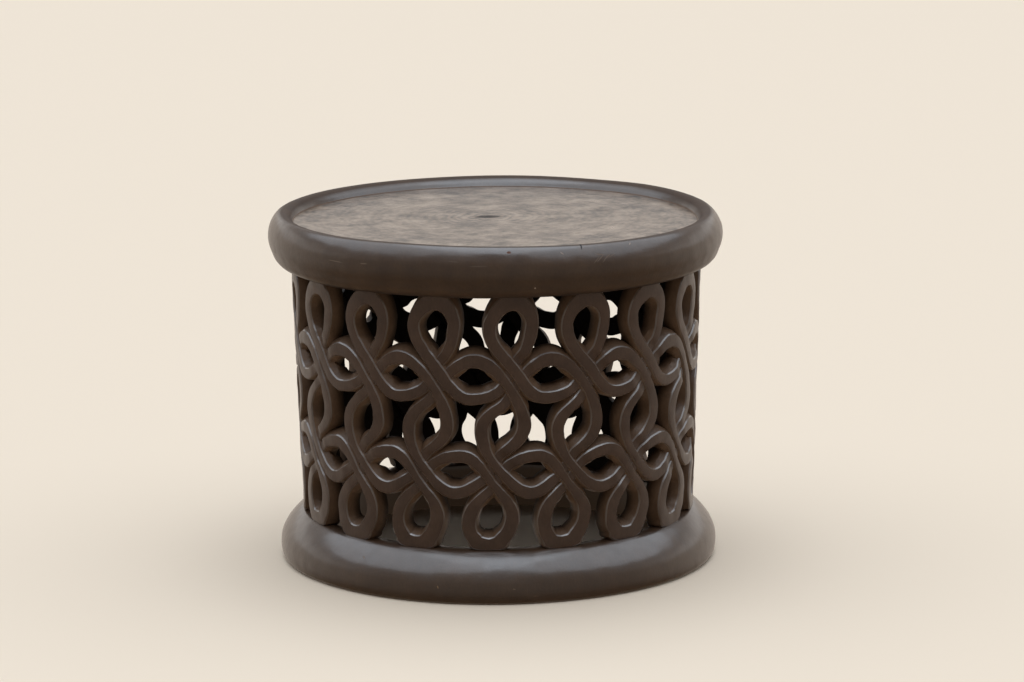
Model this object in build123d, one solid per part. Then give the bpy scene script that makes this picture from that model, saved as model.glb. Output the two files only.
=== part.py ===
from build123d import *
from math import cos, hypot, pi, radians, sin
import os

os.makedirs("parts", exist_ok=True)

# Carved drum table: a dished top, a pierced lattice of woven strands and a foot ring.
# Millimetres, foot on z = 0, axis on Z, front of the lattice towards -Y.

# overall
width = 560.0
height = 432.0
columns = 17
pitch = 360.0 / columns

# tabletop: a fat rim round a shallow dish
rim_height = 63.0
rim_swell = 30.0
rim_crest = 17.0
dish_edge = 32.0
dish_depth = 11.5
plate = 29.0
cove = 24.0

# lattice wall: a slight cone, cut through in two layers
overhang = 27.5
taper = 9.9
wall = 20.0
step = 6.0
lap_flat = 16.5
lap_ramp = 12.0
lap_gap = 0.4

# foot ring
foot_height = 60.5
foot_proud = 27.9
foot_reach = 22.6
foot_flare = 15.0
foot_swell = 23.0
foot_sole = 8.5
seat_margin = 2.4

outer_r = width / 2
floor_z = height - dish_depth
seat_top = height - rim_height
seat_foot = foot_height
wall_top_r = outer_r - overhang
wall_foot_r = wall_top_r - taper
wall_mean_r = (wall_top_r + wall_foot_r) / 2
column_gap = 2 * pi * wall_mean_r / columns

# The weave is drawn once, on a wall of 308.5 high with columns 91.5 apart, and stretched to fit.
# Stations of a strand: along the wall from a column, up from the floor, heading, strand width.
gap, foot, rise = 91.5, 60.5, 308.5
lean, first_column = 0.112, 4.2
crown, sag = (0, 362.0), (54.0, 245.0)
ring_top, ring_foot, ring_left, ring_right = (52, 291), (46, 130), (-21.2, 209), (gap + 28.5, 209)
arch, heel = (49, 175), (0, 67)
loop_over = [(*crown, 180, 22), (-25, 334, 270, 15.5), (7, 283.5, 311, 14.5), (*sag, 360, 14.5)]
loop_under = [(*crown, 0, 22), (25, 334, -90, 15.5), (14.5, 294, -130, 12.6),
              (-8, 254.5, -142, 12.6), (sag[0] - gap, sag[1], -180, 14.5)]
ring_over = [(*ring_top, 0, 17), (gap + 4.7, 260.7, -53.5, 12.5), (*ring_right, -90, 16.5)]
ring_under = [(*ring_top, 180, 17), (28.7, 280.5, 222, 13.6), (-3, 236, 220, 12.6),
              (*ring_left, 270, 16.5)]
ring_low_over = [(*ring_left, -90, 16.5), (1.5, 162, -46.5, 11), (*ring_foot, 0, 15.5)]
ring_low_under = [(*ring_right, 270, 16.5), (gap + 9.3, 181.5, 218, 12.4),
                  (gap - 17, 144.5, 213, 12.4), (*ring_foot, 180, 15.5)]
foot_over = [(arch[0] - gap, arch[1], 0, 16), (-0.3, 139.9, -48.7, 11), (26.3, 98, -90, 17.5),
             (19.2, 74.8, -137, 19), (*heel, -180, 16)]
foot_under = [(*arch, 180, 16), (18.1, 166, 218, 12.4), (-8, 130.5, 219, 12.4),
              (-26.3, 98, 270, 17.5), (-19.2, 74.8, 317, 19), (*heel, 360, 16)]
stretch_s, stretch_z = column_gap / gap, (seat_top - seat_foot) / rise


def moved(stations, shift):
    return [(s + shift, z, heading, w) for s, z, heading, w in stations]


def station(a, b, t):
    """Position, direction and width at t between two stations."""
    k = hypot(b[0] - a[0], b[1] - a[1])
    m, n = radians(a[2]), radians(b[2])
    p0, p1 = 2 * t**3 - 3 * t**2 + 1, 3 * t**2 - 2 * t**3
    q0, q1 = t**3 - 2 * t**2 + t, t**3 - t**2
    d0, d1 = 6 * t**2 - 6 * t, 6 * t - 6 * t**2
    e0, e1 = 3 * t**2 - 4 * t + 1, 3 * t**2 - 2 * t
    s = p0 * a[0] + p1 * b[0] + k * (q0 * cos(m) + q1 * cos(n))
    z = p0 * a[1] + p1 * b[1] + k * (q0 * sin(m) + q1 * sin(n))
    ds = d0 * a[0] + d1 * b[0] + k * (e0 * cos(m) + e1 * cos(n))
    dz = d0 * a[1] + d1 * b[1] + k * (e0 * sin(m) + e1 * sin(n))
    return s, z, ds, dz, p0 * a[3] + p1 * b[3]


def trace(stations, spacing=step):
    """Evenly numbered places along a strand, ends included."""
    fitted = [(s * stretch_s, seat_foot + (z - foot) * stretch_z, heading, w * stretch_s)
              for s, z, heading, w in stations]
    found = [station(fitted[0], fitted[1], 0)]
    for a, b in zip(fitted, fitted[1:]):
        steps = max(2, round(hypot(b[0] - a[0], b[1] - a[1]) / spacing))
        found += [station(a, b, i / steps) for i in range(1, steps + 1)]
    return found


def crossing(stations, other):
    """The place where two strands cross, away from the ends that they may share."""
    pairs = [(hypot(p[0] - q[0], p[1] - q[1]), (p[0] + q[0]) / 2, (p[1] + q[1]) / 2)
             for p in trace(stations, 1)[20:-20] for q in trace(other, 1)[20:-20]]
    return min(pairs)[1:]


def lap(s, z, places):
    """1 over a crossing, 0 away from it, with a smooth ramp between."""
    reach = min(hypot(s - a, z - b) for a, b in places)
    t = min(1.0, max(0.0, (lap_flat + lap_ramp - reach) / lap_ramp))
    return t * t * (3 - 2 * t)


def wall_r(z):
    return wall_foot_r + (z - seat_foot) / (seat_top - seat_foot) * (wall_top_r - wall_foot_r)


def band(stations, others, over, shift=0.0):
    """A strand with a square section, thinned where it passes over or under the others."""
    places = [crossing(stations, other) for other in others]
    sections = []
    for s, z, ds, dz, w in trace(stations):
        drop = lap(s, z, places) * (wall + lap_gap) / 2
        outside = wall_r(z) - (0 if over else drop)
        inside = wall_r(z) - wall + (drop if over else 0)
        angle = (s - shift + lean * (z - (seat_foot + seat_top) / 2)) / wall_mean_r
        radial = Vector(sin(angle), -cos(angle), 0)
        along = Vector(cos(angle), sin(angle), 0) * (ds + lean * dz) + Vector(0, 0, dz)
        across = radial.cross(along).normalized() * w / 2
        up = Vector(0, 0, z)
        sections.append(Wire.make_polygon([up + radial * outside + across,
                                           up + radial * outside - across,
                                           up + radial * inside - across,
                                           up + radial * inside + across]))
    return Solid.make_loft(sections)


def joined(*bands):
    """One solid of bands that meet end to end: shared end faces go, the skins are sewn."""
    faces = [face for piece in bands for face in piece.faces()]
    skin = [face for face in faces
            if sum((face.center() - other.center()).length < 0.001 for other in faces) == 1]
    body = Solid(Shell(skin))
    box = body.bounding_box()
    if box.max.Z > seat_top or box.min.Z < seat_foot:
        slab = Pos(0, 0, (seat_top + seat_foot) / 2) * Cylinder(width, seat_top - seat_foot)
        body = (body & slab).solids()[0]
    assert body.is_valid and body.volume > 0
    return body


def mid_of(a, b, t):
    return a + (b - a) * t


def turn(shape, angle):
    return shape.rotate(Axis.Z, angle)


half = pitch / 2
mid = column_gap / 2
upper_loop = joined(
    band(loop_over, [loop_under, ring_under], True),
    band(loop_under, [loop_over, moved(ring_over, -gap)], False))
woven_ring = joined(
    band(ring_over, [moved(loop_under, gap), moved(ring_under, gap)], True, mid),
    band(ring_under, [loop_over, moved(ring_over, -gap)], False, mid),
    band(ring_low_over, [foot_under, moved(ring_low_under, -gap)], True, mid),
    band(ring_low_under, [moved(foot_over, gap), moved(ring_low_over, gap)],
         False, mid))
lower_loop = joined(
    band(foot_over, [foot_under, moved(ring_low_under, -gap)], True),
    band(foot_under, [foot_over, ring_low_over], False))

# tabletop: fat rim outside, hollowed below, dished above
swell_z = height - rim_swell
crest_r = outer_r - rim_crest
dish_r = outer_r - dish_edge
seat_top_out = wall_top_r + seat_margin
seat_top_in = wall_top_r - wall - seat_margin
with BuildPart() as top_build:
    with BuildSketch(Plane.XZ):
        with BuildLine():
            Line((0, floor_z), (dish_r, floor_z))
            ThreePointArc((dish_r, floor_z), (mid_of(dish_r, crest_r, 0.4), height - dish_depth / 4),
                          (crest_r, height))
            ThreePointArc((crest_r, height), (outer_r - rim_crest * 0.27, height - rim_swell * 0.37),
                          (outer_r, swell_z))
            ThreePointArc((outer_r, swell_z),
                          (outer_r - overhang * 0.27, mid_of(swell_z, seat_top, 0.65)),
                          (seat_top_out, seat_top))
            Line((seat_top_out, seat_top), (seat_top_in, seat_top))
            Line((seat_top_in, seat_top), (seat_top_in - cove, floor_z - plate))
            Line((seat_top_in - cove, floor_z - plate), (0, floor_z - plate))
            Line((0, floor_z - plate), (0, floor_z))
        make_face()
    revolve(axis=Axis.Z)
tabletop = top_build.part.solids()[0]

# foot ring: rounded outside, flat under the lattice, open in the middle, wider towards the floor
foot_in_r = wall_foot_r - foot_reach
foot_out_r = wall_foot_r + foot_proud
foot_sole_r = foot_out_r - foot_sole
foot_seat_r = wall_foot_r + seat_margin
with BuildPart() as foot_build:
    with BuildSketch(Plane.XZ):
        with BuildLine():
            Line((foot_in_r + foot_flare, 0), (foot_sole_r, 0))
            ThreePointArc((foot_sole_r, 0), (foot_out_r - foot_sole * 0.28, foot_swell * 0.43),
                          (foot_out_r, foot_swell))
            ThreePointArc((foot_out_r, foot_swell),
                          (foot_out_r - foot_proud * 0.28, mid_of(foot_swell, seat_foot, 0.64)),
                          (foot_seat_r, seat_foot))
            Line((foot_seat_r, seat_foot), (foot_in_r, seat_foot))
            Line((foot_in_r, seat_foot), (foot_in_r + foot_flare, 0))
        make_face()
    revolve(axis=Axis.Z)
base_ring = foot_build.part.solids()[0]

pieces = {"tabletop": tabletop, "base_ring": base_ring}
start = first_column / wall_mean_r * 180 / pi
for i in range(columns):
    pieces[f"upper_loop_{i + 1:02d}"] = turn(upper_loop, start + i * pitch)
    pieces[f"ring_{i + 1:02d}"] = turn(woven_ring, start + i * pitch + half)
    pieces[f"lower_loop_{i + 1:02d}"] = turn(lower_loop, start + i * pitch)

for name, solid in pieces.items():
    export_step(solid, f"parts/{name}.step")
print(len(pieces), "pieces", {k: round(pieces[k].volume / 1000, 1)
                              for k in ("tabletop", "base_ring", "upper_loop_01", "ring_01",
                                        "lower_loop_01")})
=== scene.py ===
import math

import bpy
from mathutils import Matrix, Vector, noise


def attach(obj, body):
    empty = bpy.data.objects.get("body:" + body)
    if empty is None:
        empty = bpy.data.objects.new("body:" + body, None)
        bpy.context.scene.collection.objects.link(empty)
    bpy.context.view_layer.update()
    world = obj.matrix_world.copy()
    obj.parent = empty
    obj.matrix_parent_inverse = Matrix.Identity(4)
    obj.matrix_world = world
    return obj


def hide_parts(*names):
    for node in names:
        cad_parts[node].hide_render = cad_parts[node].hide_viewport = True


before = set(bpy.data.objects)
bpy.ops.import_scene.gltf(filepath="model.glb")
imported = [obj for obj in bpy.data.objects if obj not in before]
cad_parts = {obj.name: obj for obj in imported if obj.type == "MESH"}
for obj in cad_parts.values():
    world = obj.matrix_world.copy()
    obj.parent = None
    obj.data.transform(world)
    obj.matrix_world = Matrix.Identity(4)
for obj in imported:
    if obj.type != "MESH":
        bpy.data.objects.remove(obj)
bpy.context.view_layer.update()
scene = bpy.context.scene
mm = 0.001
sharpAngle = math.radians(25)        # steeper edges stay crisp
print("frame loaded:", len(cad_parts), "carved pieces")


def smooth(t):
    t = min(1.0, max(0.0, t))
    return t * t * (3 - 2 * t)


def mix(a, b, t):
    return a + (b - a) * t


def uneven(x, y, z, size, seed):
    # soft random value from about -1 to 1 that changes over about size millimetres
    return noise.noise(Vector((x, y, z)) / size + Vector((seed, 1.7 * seed, -seed))) * 1.6


# The table stands on z = 0 with its axis on Z and its front towards -Y. Sizes are in millimetres.
lattice = {
    "columns": 17,                   # loops in one row
    "firstColumn": 4.2,              # along the wall, from the front to a column
    "topRadius": 252.5, "topZ": 369.0,      # outer face where it meets the tabletop
    "footRadius": 242.6, "footZ": 60.5,     # and where it stands on the foot ring
    "bite": 1.5,                     # the strands run this far into both
    "wall": 20.0,
    "lean": 0.112, "leanZ": 213.0,   # the weave leans a little to one side
    "step": 3.0,                     # between two sections of a strand
    "corner": 1.5,                   # bevelled arris along each face
    "crown": 0.35,                   # the faces are very slightly domed
    "dip": 2.3, "dipFlat": 10.5, "dipRamp": 11.0,    # a strand sinks where it is crossed
    "rise": 9.0,                     # and the one above is thinned from behind
    "draft": 1.5, "sill": 5.5,       # holes narrow towards the inside, most at their lower edge
    "web": 2.6, "webReach": 20.0, "webRamp": 14.0,   # wood left at the bottom of the grooves
    "shelf": (2.4, 5.4),             # depths below the arris between which it begins
    "backRound": (1.0, 1.4),         # rounded edge behind, across and deep
    "heelZ": 71.0, "heelReach": 12.0,       # the lower loops spread where they stand,
    "heelSpread": 0.35, "heelAxisZ": 65.0,  # away from their own upright axis
    "sway": 0.88, "swaySize": 45.0,         # a strand wanders from its line
    "swell": 0.05, "swellSize": 30.0,       # and isn't equally wide all along
    "hewn": 0.3, "hewnSize": 14.0,          # tool marks, out from the wall
    "shaved": 0.25, "shavedSize": 11.0,     # and across the strand
    "facet": 0.55, "facetLength": 9.0,      # flats that the chisel leaves along each side
    "facetFade": 4,                         # sections over which they fade out at the ends
    "noiseRadius": 250.0,                   # where the wall lies in the noise
}
meanRadius = (lattice["topRadius"] + lattice["footRadius"]) / 2
columnGap = 2 * math.pi * meanRadius / lattice["columns"]

# The weave as stations: along the wall from a column, up, heading in degrees, width of the strand.
crown, crownWidth = (0, 362.0), 22.0
sag, sagWidth = (54.0, 245.0), 14.5
ringTop, ringFoot, ringLeft, ringRight = (52, 291), (46, 130), (-21.2, 209), (columnGap + 28.5, 209)
arch, heel = (49, 175), (0, 67)
over, overLow, under = 14.5, 11.0, 13.0
loopOver = [(*crown, 180, crownWidth), (-25, 334, 270, 15.5), (7, 283.5, 311, over),
            (*sag, 360, sagWidth)]
loopUnder = [(*crown, 0, crownWidth), (25, 334, -90, 15.5), (14.5, 294, -130, under),
             (-8, 254.5, -142, under), (sag[0] - columnGap, sag[1], -180, sagWidth)]
ringOver = [(*ringTop, 0, 17), (columnGap + 4.7, 260.7, -53.5, 12.5), (*ringRight, -90, 16.5)]
ringUnder = [(*ringTop, 180, 17), (28.7, 280.5, 222, 14), (-3, 236, 220, under),
             (*ringLeft, 270, 16.5)]
ringLowOver = [(*ringLeft, -90, 16.5), (1.5, 162, -46.5, overLow), (*ringFoot, 0, 15.5)]
ringLowUnder = [(*ringRight, 270, 16.5), (columnGap + 9.3, 181.5, 218, under),
                (columnGap - 17, 144.5, 213, under), (*ringFoot, 180, 15.5)]
footOver = [(arch[0] - columnGap, arch[1], 0, 16), (-0.3, 139.9, -48.7, overLow),
            (26.3, 98, -90, 17.5), (19.4, 76, -131, 19), (8, 67.6, -170, 17), (*heel, -180, 16)]
footUnder = [(*arch, 180, 16), (18.1, 166, 218, under), (-8, 130.5, 219, under),
             (-26.3, 98, 270, 17.5), (-19.4, 76, 311, 19), (-8, 67.6, 350, 17), (*heel, 360, 16)]


def moved(stations, shift):
    return [(s + shift, z, heading, w) for s, z, heading, w in stations]


def between(a, b, t):
    # a Hermite curve from one station to the next: place, direction and width
    k = math.hypot(b[0] - a[0], b[1] - a[1])
    m, n = math.radians(a[2]), math.radians(b[2])
    p0, q0, q1 = 2 * t**3 - 3 * t**2 + 1, t**3 - 2 * t**2 + t, t**3 - t**2
    d0, e0, e1 = 6 * t**2 - 6 * t, 3 * t**2 - 4 * t + 1, 3 * t**2 - 2 * t
    return (p0 * a[0] + (1 - p0) * b[0] + k * (q0 * math.cos(m) + q1 * math.cos(n)),
            p0 * a[1] + (1 - p0) * b[1] + k * (q0 * math.sin(m) + q1 * math.sin(n)),
            d0 * (a[0] - b[0]) + k * (e0 * math.cos(m) + e1 * math.cos(n)),
            d0 * (a[1] - b[1]) + k * (e0 * math.sin(m) + e1 * math.sin(n)),
            p0 * a[3] + (1 - p0) * b[3])


def trace(stations, spacing):
    places = [between(stations[0], stations[1], 0)]
    for a, b in zip(stations, stations[1:]):
        steps = max(2, round(math.hypot(b[0] - a[0], b[1] - a[1]) / spacing))
        places += [between(a, b, i / steps) for i in range(1, steps + 1)]
    return places


def crossing(stations, other):
    # where two strands cross, away from the ends that they may share
    skip = 20
    pairs = [(math.hypot(p[0] - q[0], p[1] - q[1]), (p[0] + q[0]) / 2, (p[1] + q[1]) / 2)
             for p in trace(stations, 1)[skip:-skip] for q in trace(other, 1)[skip:-skip]]
    return min(pairs)[1:]


def strand(stations, others, above, backwards=False):
    # sections of one strand: place, direction, width, depth of front and back, web
    meets = [crossing(stations, other) for other in others]
    turn = -1 if backwards else 1
    sections = []
    for s, z, ds, dz, w in trace(stations, lattice["step"]):
        reach = min(math.hypot(s - a, z - b) for a, b in meets)
        lap = smooth((lattice["dipFlat"] + lattice["dipRamp"] - reach) / lattice["dipRamp"])
        web = smooth((lattice["webReach"] + lattice["webRamp"] - reach) / lattice["webRamp"])
        front = 0 if above else lattice["dip"] * lap
        back = lattice["rise"] * lap if above else 0
        sections.append((s, z, ds * turn, dz * turn, w, front, back, web))
    return sections[::-1] if backwards else sections


def wallRadius(z):
    t = (z - lattice["footZ"]) / (lattice["topZ"] - lattice["footZ"])
    return mix(lattice["footRadius"], lattice["topRadius"], t)


def angleAt(start, s, z):
    return start + (s + lattice["lean"] * (z - lattice["leanZ"])) / meanRadius


def outline(half, front, back, web, slope):
    # half a section, as reach and depth from the middle of the face to the middle of the back
    c, deep = lattice["corner"], lattice["wall"] - back
    shelf = web * lattice["web"]
    shallow, low = lattice["shelf"]
    roundAcross, roundDeep = lattice["backRound"]
    face = [(0, front - lattice["crown"]), (half * 0.55, front - lattice["crown"] * 0.6)]
    arris = [(half - c, front), (half, front + c)]
    groove = [(half + 0.25 * slope + 0.35 * shelf, front + c + shallow),
              (half + 0.55 * slope + shelf, front + c + low)]
    inner = [(half + 0.85 * slope + shelf, mix(front, deep, 0.6)),
             (half + slope + 0.6 * shelf, deep - roundDeep),
             (half + slope - roundAcross, deep), (0, deep)]
    return face + arris + groove + inner


def chiselled(run, start, side):
    # how far one side of a strand stands out: straight flats from knot to knot, with a place
    # of its own in the noise for each column, side and knot
    knot = run / lattice["facetLength"]
    k, t = int(knot), knot % 1
    a, b = (noise.noise((7.3 * j + 50 * start, side * 9.1, 0.37 * j)) * 2 for j in (k, k + 1))
    return mix(a, b, t) * lattice["facet"]


def skin(name, points, faces, replaced, depths=None):
    mesh = bpy.data.meshes.new(name)
    mesh.from_pydata([(x * mm, y * mm, z * mm) for x, y, z in points], [], faces)
    mesh.validate()
    mesh.shade_smooth()
    mesh.set_sharp_from_angle(angle=sharpAngle)
    if depths:
        mesh.attributes.new("depth", "FLOAT", "POINT").data.foreach_set("value", depths)
    made = bpy.data.objects.new(name, mesh)
    scene.collection.objects.link(made)
    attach(made, "root")
    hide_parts(replaced)
    return made


def carve(name, sections, start, node, closed=False):
    points, depths, faces = [], [], []
    count = len(sections)
    run = 0.0
    axis = angleAt(start, 0, lattice["heelAxisZ"])
    sideways = Vector((math.cos(axis), math.sin(axis), 0))
    lowest, highest = lattice["footZ"] - lattice["bite"], lattice["topZ"] + lattice["bite"]
    for i, (s, z, ds, dz, w, front, back, web) in enumerate(sections):
        if i:
            run += math.hypot(s - sections[i - 1][0], z - sections[i - 1][1])
        fade = lattice["facetFade"]
        ends = 1 if closed else min(1, i / fade, (count - 1 - i) / fade)
        flatLeft, flatRight = (chiselled(run, start, side) * ends for side in (-1, 1))
        angle = angleAt(start, s, z)
        x, y = lattice["noiseRadius"] * math.sin(angle), -lattice["noiseRadius"] * math.cos(angle)
        s += uneven(x, y, z, lattice["swaySize"], 3) * lattice["sway"]
        z += uneven(x, y, z, lattice["swaySize"], 8) * lattice["sway"]
        w *= 1 + lattice["swell"] * uneven(x, y, z, lattice["swellSize"], 5)
        angle = angleAt(start, s, z)
        out = Vector((math.sin(angle), -math.cos(angle), 0))
        along = Vector((math.cos(angle), math.sin(angle), 0)) * (ds + lattice["lean"] * dz)
        across = out.cross(along + Vector((0, 0, dz))).normalized()
        slopes = [lattice["draft"] + lattice["sill"] * max(0, side * across.z) ** 2
                  for side in (1, -1)]
        right, left = (outline(w / 2, front, back, web, slope) for slope in slopes)
        ring = right + [(-a, d) for a, d in left[-2:0:-1]]
        for a, d in ring:
            if a:
                flat = flatLeft if a < 0 else flatRight
                a += math.copysign(flat * (1 - d / lattice["wall"]), a)
            p = Vector((0, 0, z)) + out * (wallRadius(z) - d) + across * a
            p += (out * uneven(*p, lattice["hewnSize"], 2) * lattice["hewn"]
                  + across * uneven(*p, lattice["shavedSize"], 6) * lattice["shaved"])
            spread = smooth((lattice["heelZ"] - p.z) / lattice["heelReach"])
            p += sideways * (p.dot(sideways) * lattice["heelSpread"] * spread)
            p.z = min(max(p.z, lowest), highest)
            points.append(tuple(p))
            depths.append(d / lattice["wall"])
    n = len(ring)
    for i in range(count - 1 + closed):
        j = (i + 1) % count
        faces += [(i * n + k, i * n + (k + 1) % n, j * n + (k + 1) % n, j * n + k)
                  for k in range(n)]
    if not closed:
        faces += [tuple(range(n))[::-1], tuple(range((count - 1) * n, count * n))]
    return skin(name, points, faces, node, depths)


upperLoop = (strand(loopUnder, [loopOver, moved(ringOver, -columnGap)], False, True)
             + strand(loopOver, [loopUnder, ringUnder], True)[1:])
wovenRing = (strand(ringOver, [moved(loopUnder, columnGap), moved(ringUnder, columnGap)], True)
             + strand(ringLowUnder, [moved(footOver, columnGap), moved(ringLowOver, columnGap)],
                      False)[1:]
             + strand(ringLowOver, [footUnder, moved(ringLowUnder, -columnGap)], True, True)[1:]
             + strand(ringUnder, [loopOver, moved(ringOver, -columnGap)], False, True)[1:-1])
lowerLoop = (strand(footOver, [footUnder, moved(ringLowUnder, -columnGap)], True)
             + strand(footUnder, [footOver, ringLowOver], False, True)[1:])
carved = []
for i in range(lattice["columns"]):
    start = lattice["firstColumn"] / meanRadius + i * 2 * math.pi / lattice["columns"]
    for node, sections, closed in (("upper_loop", upperLoop, False), ("ring", wovenRing, True),
                                   ("lower_loop", lowerLoop, False)):
        node += f"_{i + 1:02d}"
        carved.append(carve("carved_" + node, sections, start, node, closed))
print("lattice carved:", len(carved), "strands")


def throughPoints(corners, spacing):
    # a smooth line through the corners of a turned section
    line = []
    last = len(corners) - 1
    for i in range(last):
        p = [Vector(corners[min(max(i + k, 0), last)]) for k in (-1, 0, 1, 2)]
        steps = max(1, round((p[2] - p[1]).length / spacing))
        for j in range(steps):
            t = j / steps
            a = 2 * p[1] + (p[2] - p[0]) * t
            b = (2 * p[0] - 5 * p[1] + 4 * p[2] - p[3]) * t * t
            c = (3 * p[1] - p[0] - 3 * p[2] + p[3]) * t**3
            line.append((a + b + c) / 2)
    return line + [Vector(corners[last])]


def turned(name, line, around, node, shape):
    # a body of revolution, each point then shifted by shape(r, z, angle)
    points, rows, faces = [], [], []
    for r, z in line:
        if r < 0.01:
            rows.append((len(points), 1))
            points.append((0, 0, z))
            continue
        rows.append((len(points), around))
        for k in range(around):
            angle = 2 * math.pi * k / around
            shiftedR, shiftedZ = shape(r, z, angle)
            points.append((shiftedR * math.sin(angle), -shiftedR * math.cos(angle), shiftedZ))
    pairs = list(zip(rows, rows[1:]))
    if rows[0][1] > 1:
        pairs.append((rows[-1], rows[0]))
    for (a, sizeA), (b, sizeB) in pairs:
        for k in range(around):
            after = (k + 1) % around
            if sizeA == 1:
                faces.append((a, b + k, b + after))
            elif sizeB == 1:
                faces.append((a + k, b, a + after))
            else:
                faces.append((a + k, b + k, b + after, a + after))
    return skin(name, points, faces, node)


def unevenTurn(angle, along, size, seed):
    # unevenness that runs round the axis, nearly the same over the width of a rim
    noiseRadius, flatten = 90, 3
    x, y = math.sin(angle) * noiseRadius, math.cos(angle) * noiseRadius
    return uneven(x, y, along / flatten, size, seed)


top = {
    "floorZ": 420.5, "dishRadius": 248.2, "bottomZ": 391.5, "around": 360, "spacing": 1.6,
    "section": [(248.2, 420.3), (249.4, 421.6), (251.6, 425.4), (254.6, 428.8), (258.8, 431.1),
                (263.5, 431.7), (268, 430.5), (273, 425.5), (277, 418), (279.4, 410.5), (280, 402),
                (279, 394), (276.3, 386.2), (273, 378), (267.3, 372), (259.5, 368.6),
                (252, 369), (240, 369), (229.5, 369)],
    "cove": [(226, 371), (207, 389.5)],     # hollowed below, from the lattice to the plate
    "upperSide": 415.0,                     # what lies higher belongs to the dish and the rim
    "rimFrom": 225.0, "rimRamp": 25.0,      # the rim's unevenness fades in over this radius
    "wander": 0.9, "wanderSize": 60.0,      # the rim isn't quite a circle,
    "wave": 0.7, "waveSize": 45.0,          # nor quite level
    "low": 3.2, "lowTurn": 0.5, "lowPower": 6,      # it sags in one place on the right,
    "lowFrom": 395.0, "lowRamp": 30.0,              # most on its upper side,
    "crest": 263.5, "broader": 7.0,         # and it is broader at the back, on its inner side
    "hewn": 0.22, "hewnSize": 16.0,
    "scoop": 0.32, "scoopSize": 20.0,       # shallow tool marks across the dish
    "largest": 280.4, "height": 432.0,      # nothing of it reaches further than this
}


def topShape(r, z, angle):
    x, y = r * math.sin(angle), -r * math.cos(angle)
    if z > top["upperSide"] and r < top["crest"]:
        crest, dishRadius = top["crest"], top["dishRadius"]
        inwards = min(r / dishRadius, (crest - r) / (crest - dishRadius))
        r -= top["broader"] * smooth(-math.cos(angle)) * inwards
    rim = smooth((r - top["rimFrom"]) / top["rimRamp"])
    low = smooth(0.5 + 0.5 * math.sin(angle + top["lowTurn"])) ** top["lowPower"]
    z -= rim * top["low"] * low * smooth((z - top["lowFrom"]) / top["lowRamp"])
    r += rim * top["wander"] * unevenTurn(angle, z, top["wanderSize"], 4)
    z += rim * top["wave"] * unevenTurn(angle, r, top["waveSize"], 9)
    if z > top["upperSide"]:
        z += (1 - rim) * top["scoop"] * uneven(x, y, 0, top["scoopSize"], 2)
    r += rim * top["hewn"] * uneven(x, y, z, top["hewnSize"], 7)
    return min(r, top["largest"]), min(z, top["height"])


dishLine = [Vector((r, top["floorZ"])) for r in (0, *range(4, 246, 4), 246)]
underLine = [Vector(p) for p in top["cove"]]
underLine += [Vector((r, top["bottomZ"])) for r in (204.5, 180, 140, 100, 60, 20, 0)]
rimLine = throughPoints(top["section"], top["spacing"])
tabletop = turned("carved_tabletop", dishLine + rimLine + underLine, top["around"], "tabletop",
                  topShape)

foot = {
    "around": 320, "spacing": 2.2,
    "section": [(234.2, 3), (236, 0), (240, 0), (260, 0), (267, 2.2), (270.2, 8), (271.2, 16),
                (270.4, 25), (268, 32.6), (264.6, 39), (260.6, 44.6), (256.2, 49.8), (251.4, 54.4),
                (246, 58.4), (240, 60.6), (233, 61.2), (226, 60.6), (221.8, 58.4), (220.6, 54),
                (224, 40), (229, 22)],
    "wander": 0.9, "wanderSize": 60.0,
    "wave": 0.8, "waveSize": 40.0, "waveFrom": 2.0, "waveRamp": 20.0,   # but its sole is flat
    "hewn": 0.2, "hewnSize": 16.0,
}


def footShape(r, z, angle):
    x, y = r * math.sin(angle), -r * math.cos(angle)
    r += foot["wander"] * unevenTurn(angle, z, foot["wanderSize"], 14)
    if z > foot["waveFrom"]:
        wave = foot["wave"] * smooth(z / foot["waveRamp"])
        z += wave * unevenTurn(angle, r, foot["waveSize"], 19)
    r += foot["hewn"] * uneven(x, y, z, foot["hewnSize"], 17)
    return r, max(z, 0)


footRing = turned("carved_foot_ring", throughPoints(foot["section"], foot["spacing"]),
                  foot["around"], "base_ring", footShape)
print("tabletop and foot ring turned")


def colour(text):
    # sRGB hex to linear
    parts = [int(text[i:i + 2], 16) / 255 for i in (1, 3, 5)]
    return [p / 12.92 if p <= 0.04045 else ((p + 0.055) / 1.055) ** 2.4 for p in parts] + [1]


def addNode(tree, kind, inputs=None, **settings):
    node = tree.nodes.new("ShaderNode" + kind)
    for name, value in settings.items():
        setattr(node, name, value)
    for name, value in (inputs or {}).items():
        if isinstance(value, bpy.types.NodeSocket):
            tree.links.new(value, node.inputs[name])
        else:
            node.inputs[name].default_value = value
    return node


def blend(tree, share, a, b, kind="RGBA", mode="MIX"):
    return addNode(tree, "Mix", {"Factor": share, "A": a, "B": b}, data_type=kind,
                   blend_type=mode).outputs["Result"]


def ranged(tree, value, fromMin, fromMax, toMin=0.0, toMax=1.0, curve="LINEAR"):
    return addNode(tree, "MapRange", {"Value": value, "From Min": fromMin, "From Max": fromMax,
                                      "To Min": toMin, "To Max": toMax},
                   interpolation_type=curve).outputs["Result"]


def maths(tree, operation, *values):
    return addNode(tree, "Math", dict(enumerate(values)), operation=operation).outputs[0]


noiseSpan = (0.3, 0.7)               # nearly all of a cloud lies between these


def cloud(tree, place, size, detail, roughness=0.5):
    # soft noise with patches of about size millimetres
    return addNode(tree, "TexNoise", {"Vector": place, "Scale": 1 / (size * mm), "Detail": detail,
                                      "Roughness": roughness}).outputs["Fac"]


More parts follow.
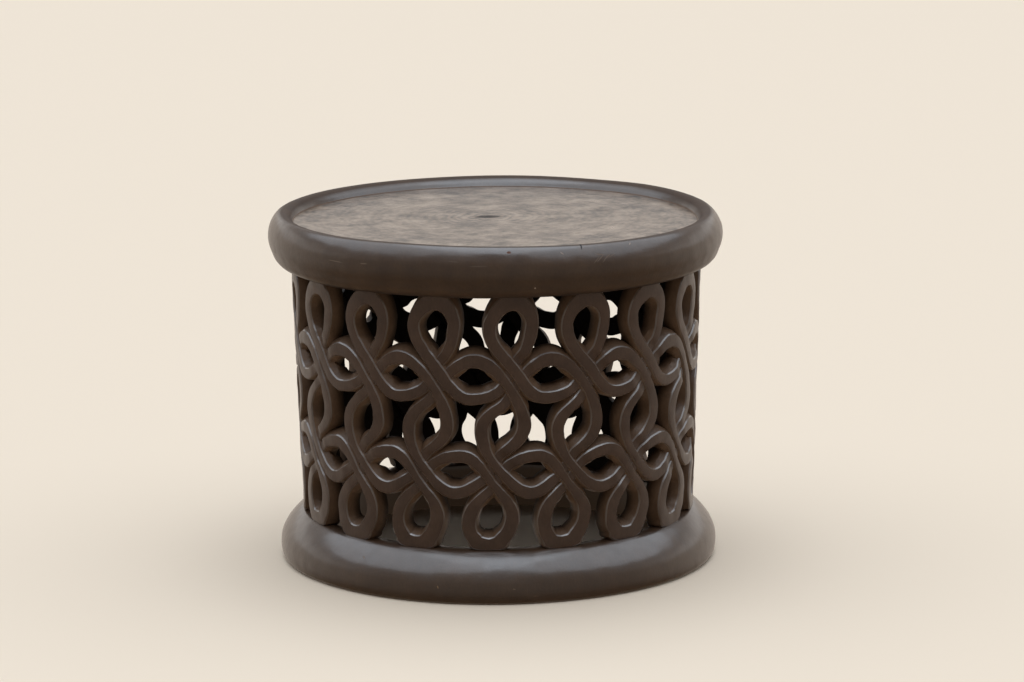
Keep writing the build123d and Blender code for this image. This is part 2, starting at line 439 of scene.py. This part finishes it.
def ball(tree, place, centre, size, rotation=(0, 0, 0)):
    # 1 at the centre, 0 at the edge of an ellipsoid with half axes of size millimetres
    inside = addNode(tree, "Mapping", {
        "Vector": place, "Location": [v * mm for v in centre], "Rotation": rotation,
        "Scale": [v * mm for v in size]}, vector_type="TEXTURE").outputs["Vector"]
    return addNode(tree, "TexGradient", {"Vector": inside},
                   gradient_type="SPHERICAL").outputs["Fac"]


def startWood(name, ior, bumpDistance, bumpStrength=0.5):
    # a new material, its tree and shader, where a point lies, and a bump without its height yet
    material = bpy.data.materials.new(name)
    material.use_nodes = True
    tree = material.node_tree
    shader = tree.nodes["Principled BSDF"]
    shader.inputs["IOR"].default_value = ior
    place = addNode(tree, "TexCoord").outputs["Object"]
    bump = addNode(tree, "Bump", {"Distance": bumpDistance * mm, "Strength": bumpStrength})
    tree.links.new(bump.outputs["Normal"], shader.inputs["Normal"])
    return material, tree, shader, place, bump


wood = {
    "inside": "#0a0603", "insideFrom": 0.45, "insideTo": 1.05,   # darker behind, by share of depth: charred wood, and painted shade deep in the holes
    "stain": 30.0, "stainNoise": (5.0, 0.6),         # patches of darker and lighter stain
    "grain": 2.2, "grainStretch": 0.35,              # lines of the grain, upright
    "grainTone": (0.35, 0.7, 0.9, 1.08),             # and how they darken and lighten the stain
    "patch": 12.0, "patchHeight": 2.2,               # patches of thicker wax
    "roughness": (0.35, 0.48),                       # from one patch of it to another
    "pores": 3.5, "bump": 0.25,
    "bare": 0.9,                                     # roughness where the wax is gone
    "knockEdge": 0.35, "crestBare": 0.9,             # how soft a knock ends; how bare the crest is
}


def drawKnocks(tree, place, tone, knocks):
    # paints the knocks over the tone, and says where they have taken the wax off
    bare = 0.0
    for azimuth, r, z, turn, tilt, size, shade in knocks:
        a = math.radians(azimuth)
        centre = (r * math.sin(a), -r * math.cos(a), z)
        rotation = (0, math.radians(tilt), a + math.radians(turn))
        share = ranged(tree, ball(tree, place, centre, [v / 2 for v in size], rotation), 0.0,
                       wood["knockEdge"])
        tone = blend(tree, share, tone, colour(shade))
        bare = maths(tree, "MAXIMUM", bare, share)
    return tone, bare


def drawCrest(tree, place, bare, radius, reach):
    # hands wear the wax off the crest of the rim
    flat = addNode(tree, "VectorMath", {0: place, 1: (1, 1, 0)}, operation="MULTIPLY").outputs[0]
    away = addNode(tree, "VectorMath", {0: flat}, operation="LENGTH").outputs["Value"]
    aside = maths(tree, "ABSOLUTE", maths(tree, "SUBTRACT", away, radius * mm))
    share = ranged(tree, aside, reach * mm, reach * mm / 2, 0.0, wood["crestBare"])
    return maths(tree, "MAXIMUM", bare, share)


def ebonised(name, tones, ior, wax, waxRoughness, knocks=(), crest=None):
    # hardwood blackened by fire and stain, then waxed: dark brown, soft sheen on every arris
    material, tree, shader, place, bump = startWood(name, ior, wood["bump"])
    shader.inputs["Coat Weight"].default_value = wax
    shader.inputs["Coat Roughness"].default_value = waxRoughness
    stain = cloud(tree, place, wood["stain"], *wood["stainNoise"])
    upright = addNode(tree, "Mapping", {"Vector": place, "Scale": (1, 1, wood["grainStretch"])})
    grain = cloud(tree, upright.outputs["Vector"], wood["grain"], 3.0)
    tone = blend(tree, stain, colour(tones[0]), colour(tones[1]))
    tone = blend(tree, 1.0, tone, ranged(tree, grain, *wood["grainTone"]), mode="MULTIPLY")
    # darker with depth into the wall: charred wood, and painted shade in the holes and behind
    depth = addNode(tree, "Attribute", attribute_name="depth").outputs["Fac"]
    sootAndShade = ranged(tree, depth, wood["insideFrom"], wood["insideTo"])
    tone = blend(tree, sootAndShade, tone, colour(wood["inside"]))
    tone, bare = drawKnocks(tree, place, tone, knocks)
    if crest:
        bare = drawCrest(tree, place, bare, *crest)
    if knocks:
        tree.links.new(ranged(tree, bare, 0.0, 1.0, wax, 0.0), shader.inputs["Coat Weight"])
    tree.links.new(tone, shader.inputs["Base Color"])
    patches = cloud(tree, place, wood["patch"], 4.0)
    rough = ranged(tree, patches, *noiseSpan, *wood["roughness"])
    rough = blend(tree, bare, rough, wood["bare"], "FLOAT")
    tree.links.new(rough, shader.inputs["Roughness"])
    height = maths(tree, "ADD", grain, cloud(tree, place, wood["pores"], 3.0))
    height = maths(tree, "MULTIPLY_ADD", patches, wood["patchHeight"], height)
    tree.links.new(height, bump.inputs["Height"])
    return material


# the pale tones stand partly for worn wood, partly for painted sheen
dish = {
    "dark": "#31271f", "light": "#8b7764", "heart": "#1c1511",
    "roughness": (0.5, 0.26),        # from the hollows of the tool marks to their crests
    "wax": 0.5, "waxRoughness": 0.2,
    "pith": (-9.5, 9.5, top["floorZ"]),              # heart of the log
    "heartSize": (22, 12, 12), "heartShare": (0.0, 0.6, 0.0, 0.85),
    "ringsSize": (90, 90, 90), "ringShare": (0.08, 0.26),    # rings show most near the heart
    "ring": 11.0,                    # between growth rings, drawn wider than real ones
    "waveUnit": 3.2,                 # a wave texture repeats so many times in one of its units
    "mark": 34.0, "markNoise": (7.0, 0.72), "markDepth": 0.9,   # length and depth of an adze mark
    "contrast": (0.35, 0.65),
}


def dishWood():
    # the same wood cut across the grain, smooth: pale partly as worn wood, partly as painted sheen
    # of the bright wall it mirrors; soft sheen, faint rings
    material, tree, shader, place, bump = startWood("hardwood_end_grain_adzed_worn_and_painted_sheen", 1.5,
                                                    dish["markDepth"])
    shader.inputs["Coat Roughness"].default_value = dish["waxRoughness"]
    marks = cloud(tree, place, dish["mark"], *dish["markNoise"])
    fromPith = addNode(tree, "Mapping", {"Vector": place, "Location": (
        -dish["pith"][0] * mm, -dish["pith"][1] * mm, 0), "Scale": (1, 1, 0)}).outputs["Vector"]
    rings = addNode(tree, "TexWave", {
        "Vector": fromPith, "Scale": 1 / (dish["ring"] * mm * dish["waveUnit"]),
        "Distortion": 8.0, "Detail": 4.0, "Detail Scale": 1.6},
        wave_type="RINGS", rings_direction="Z").outputs["Fac"]
    near = ball(tree, place, dish["pith"], dish["ringsSize"])
    share = blend(tree, ranged(tree, near, 0.0, 1.0, *dish["ringShare"]), marks, rings, "FLOAT")
    tone = blend(tree, ranged(tree, share, *dish["contrast"]), colour(dish["dark"]),
                 colour(dish["light"]))
    heart = ranged(tree, ball(tree, place, dish["pith"], dish["heartSize"]), *dish["heartShare"])
    tone = blend(tree, heart, tone, colour(dish["heart"]))
    tree.links.new(tone, shader.inputs["Base Color"])
    rough = ranged(tree, marks, *noiseSpan, *dish["roughness"])
    rough = blend(tree, heart, rough, wood["bare"], "FLOAT")
    tree.links.new(rough, shader.inputs["Roughness"])
    tree.links.new(ranged(tree, heart, 0.0, 1.0, dish["wax"], 0.0), shader.inputs["Coat Weight"])
    tree.links.new(marks, bump.inputs["Height"])
    return material


# near-black colours of the inner side: charred wood and painted shade
sootAndShade = {
    "dark": "#070503", "light": "#1a110b", "roughness": 0.85,
    "cut": 9.0, "cutDepth": 1.2, "bumpStrength": 0.6,    # marks of the tool
}


def sootedAndShadedWood():
    # the inner side of the wall, charred and left as it came from the tool: dull, and nearly black
    # as painted shade inside the drum
    material, tree, shader, place, bump = startWood("charred_hardwood_unwaxed_in_painted_shade", 1.4,
                                                    sootAndShade["cutDepth"], sootAndShade["bumpStrength"])
    shader.inputs["Roughness"].default_value = sootAndShade["roughness"]
    cuts = cloud(tree, place, sootAndShade["cut"], 3.0)
    tone = blend(tree, cuts, colour(sootAndShade["dark"]), colour(sootAndShade["light"]))
    tree.links.new(tone, shader.inputs["Base Color"])
    tree.links.new(cuts, bump.inputs["Height"])
    return material


# azimuth from the front, radius, height, turn, tilt, size along, across and up, colour
rimKnocks = [
    (22.1, 266, 429, -10, 0, (2.0, 24, 14), "#040302"),         # a drying crack
    (-42.5, 280, 405, 0, 2, (26, 5, 1.4), "#65574c"),           # scratches along the rim
    (-33.6, 279.6, 406.5, 0, -2, (11, 5, 1.4), "#65574c"),
    (-4, 279.4, 410.4, 0, -1, (24, 5, 1.2), "#54473d"),
    (-10, 278.1, 415.2, 0, 3, (15, 5, 1.2), "#54473d"),
    (25.2, 278.6, 412, 0, -40, (14, 6, 1.5), "#5b4d43"),        # a scuffed patch
    (26.4, 278.6, 414, 0, -36, (17, 6, 1.7), "#5f5147"),
    (27.6, 278.8, 412.5, 0, -42, (15, 6, 1.5), "#5b4d43"),
    (28.4, 278.4, 415, 0, -30, (16, 6, 1.7), "#5f5147"),
    (29.6, 278.2, 415.5, 0, -20, (13, 6, 1.5), "#5b4d43"),
    (26.2, 277.2, 418, 0, 10, (16, 6, 1.5), "#5f5147"),
    (3.4, 273, 425.4, 0, 0, (6, 5, 3.4), "#5b3a2a"),            # a reddish spot
    (9.7, 275.1, 382.7, 0, 0, (1.8, 4, 1.8), "#a08f80"),        # small pale marks
    (16.5, 274.5, 422.4, 0, 35, (6, 5, 2), "#8a7d74"),
    (36, 272, 426, 0, -35, (7, 6, 2), "#8a7d74"),
]
footKnocks = [
    (-15.3, 270.8, 21, 0, 70, (4.5, 5, 1.6), "#8a6f52"),
    (4, 271, 20, 0, 10, (4, 5, 1.5), "#6a5a4c"),
    (9.3, 269.8, 10.5, 0, -30, (5, 5, 1.5), "#5c4a3c"),
    (-38, 262, 44, 0, 30, (7, 6, 1.6), "#77695f"),
]
rimCrest = (258.5, 10.5)             # radius and half width of the band that hands have dulled
carvedTones, arrisHighlightTones = ("#302118", "#503b2d"), ("#3a2b20", "#5c4837")
paintedLightTones = ("#463426", "#6b5543")
polished = "ebonised_hardwood_turned_and_polished", ("#2b1b10", "#49331f")
# flat and even: a satin face
carvedWood = ebonised("ebonised_hardwood_carved_and_waxed", carvedTones, 1.3, 0.85, 0.18)
# glossier, and a little paler as a painted highlight: a bright line along each edge
arrisHighlightWood = ebonised("ebonised_hardwood_arris_painted_highlight", arrisHighlightTones, 2.0, 1.0, 0.1)
# dull, and paler as painted light on the hole walls: holes look deep and dry
hollowWood = ebonised("ebonised_hardwood_gouged_painted_light", paintedLightTones, 1.3, 0.1, 0.4)
innerWood = sootedAndShadedWood()
# glossy and dark: broad soft highlights, dull along the crest of the rim
rimWood = ebonised(*polished, 1.55, 1.0, 0.2, rimKnocks, rimCrest)
footWood = ebonised(*polished, 1.7, 1.0, 0.18, footKnocks)

# finish of each side of a strand, from the middle of its face round the right, back and left
# 0 face, 1 arris painted paler as a highlight, 2 hole walls painted paler as light, 3 inner side in
# near-black painted shade
finish = [0, 0, 1, 2, 2, 2, 2, 3, 3, 3, 3, 2, 2, 2, 2, 1, 0, 0]
for piece in carved:
    for material in (carvedWood, arrisHighlightWood, hollowWood, innerWood):
        piece.data.materials.append(material)
    faces = piece.data.polygons
    faces.foreach_set("material_index", [finish[k % len(finish)] for k in range(len(faces))])
footRing.data.materials.append(footWood)
for material in (rimWood, hollowWood, dishWood()):
    tabletop.data.materials.append(material)
for face in tabletop.data.polygons:
    row = face.index // top["around"]
    if row <= len(dishLine):
        face.material_index = 2 if row < len(dishLine) else 1      # painted shade: the corner between dish and rim takes the dull hole finish
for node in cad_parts.values():
    node.data.materials.clear()
    node.data.materials.append(carvedWood)
print("wood finished")

room = {
    "floor": "#e2d2bd", "floorRoughness": 0.9, "floorHalf": 15.0, "backdrop": "#faf8f5",
    # what the wax mirrors: the side of the viewer, the ground, and the far side low and high
    "front": (0.22, 0.19, 0.165, 1), "below": (0.12, 0.08, 0.05, 1),
    "behind": (0.5, 0.435, 0.375, 1), "wall": (0.83, 0.785, 0.745, 1),
    # how far a direction has to point away from the viewer, or up, for each to give way to the next
    "farSide": (-0.7, 0.7), "wallFoot": (0.09, 0.19), "wallEnd": (0.42, 0.26),
    "ground": (-0.1, -0.7),
    "sky": 1.85, "skyAngle": 82, "skyLeans": ((3, -20), (3, 20)), "skyColour": (0.8, 0.89, 1.0),
}
floorPaint = bpy.data.materials.new("matt_painted_floor")
floorPaint.use_nodes = True
paint = floorPaint.node_tree.nodes["Principled BSDF"]
paint.inputs["Base Color"].default_value = colour(room["floor"])
paint.inputs["Roughness"].default_value = room["floorRoughness"]
floorMesh = bpy.data.meshes.new("floor")
corners = [(x * room["floorHalf"], y * room["floorHalf"], 0)
           for x, y in ((-1, -1), (1, -1), (1, 1), (-1, 1))]
floorMesh.from_pydata(corners, [], [(0, 1, 2, 3)])
floorMesh.materials.append(floorPaint)
floor = bpy.data.objects.new("floor", floorMesh)
floor.visible_glossy = False             # the wax mirrors the ground colour of the world instead
scene.collection.objects.link(floor)

world = bpy.data.worlds.new("studio")
scene.world = world
world.use_nodes = True
tree = world.node_tree
aim = addNode(tree, "SeparateXYZ", {"Vector": addNode(tree, "TexCoord").outputs["Generated"]})
farSide, wallEnd, ground, wallFoot = (
    ranged(tree, aim.outputs[axis], *room[name], curve="SMOOTHSTEP")
    for axis, name in (("Y", "farSide"), ("Z", "wallEnd"), ("Z", "ground"), ("Z", "wallFoot")))
far = blend(tree, wallFoot, room["behind"], room["wall"])
tone = blend(tree, maths(tree, "MULTIPLY", farSide, wallEnd), room["front"], far)
tone = blend(tree, ground, tone, room["below"])
seen = addNode(tree, "LightPath").outputs["Is Camera Ray"]
tone = blend(tree, seen, tone, colour(room["backdrop"]))
tree.links.new(tone, tree.nodes["Background"].inputs["Color"])

for side, leans in zip(("left", "right"), room["skyLeans"]):
    skyData = bpy.data.lights.new("sky_" + side, "SUN")
    skyData.energy, skyData.color = room["sky"], room["skyColour"]
    skyData.angle = math.radians(room["skyAngle"])
    sky = bpy.data.objects.new("sky_" + side, skyData)
    scene.collection.objects.link(sky)
    sky.rotation_euler = [math.radians(-lean) for lean in leans] + [0]

view = {
    "lens": 138.145, "sensor": 36, "near": 0.1, "far": 60,
    "place": (0.0189, -4.7755, 1.2247), "pitch": 78.644, "roll": -0.49,
}
cameraData = bpy.data.cameras.new("camera")
cameraData.lens, cameraData.sensor_width = view["lens"], view["sensor"]
cameraData.clip_start, cameraData.clip_end = view["near"], view["far"]
camera = bpy.data.objects.new("camera", cameraData)
scene.collection.objects.link(camera)
camera.location = view["place"]
camera.rotation_euler = (Matrix.Rotation(math.radians(view["pitch"]), 3, "X")
                         @ Matrix.Rotation(math.radians(view["roll"]), 3, "Z")).to_euler()
scene.camera = camera
scene.view_settings.view_transform = "Standard"
print("floor, light and camera set")
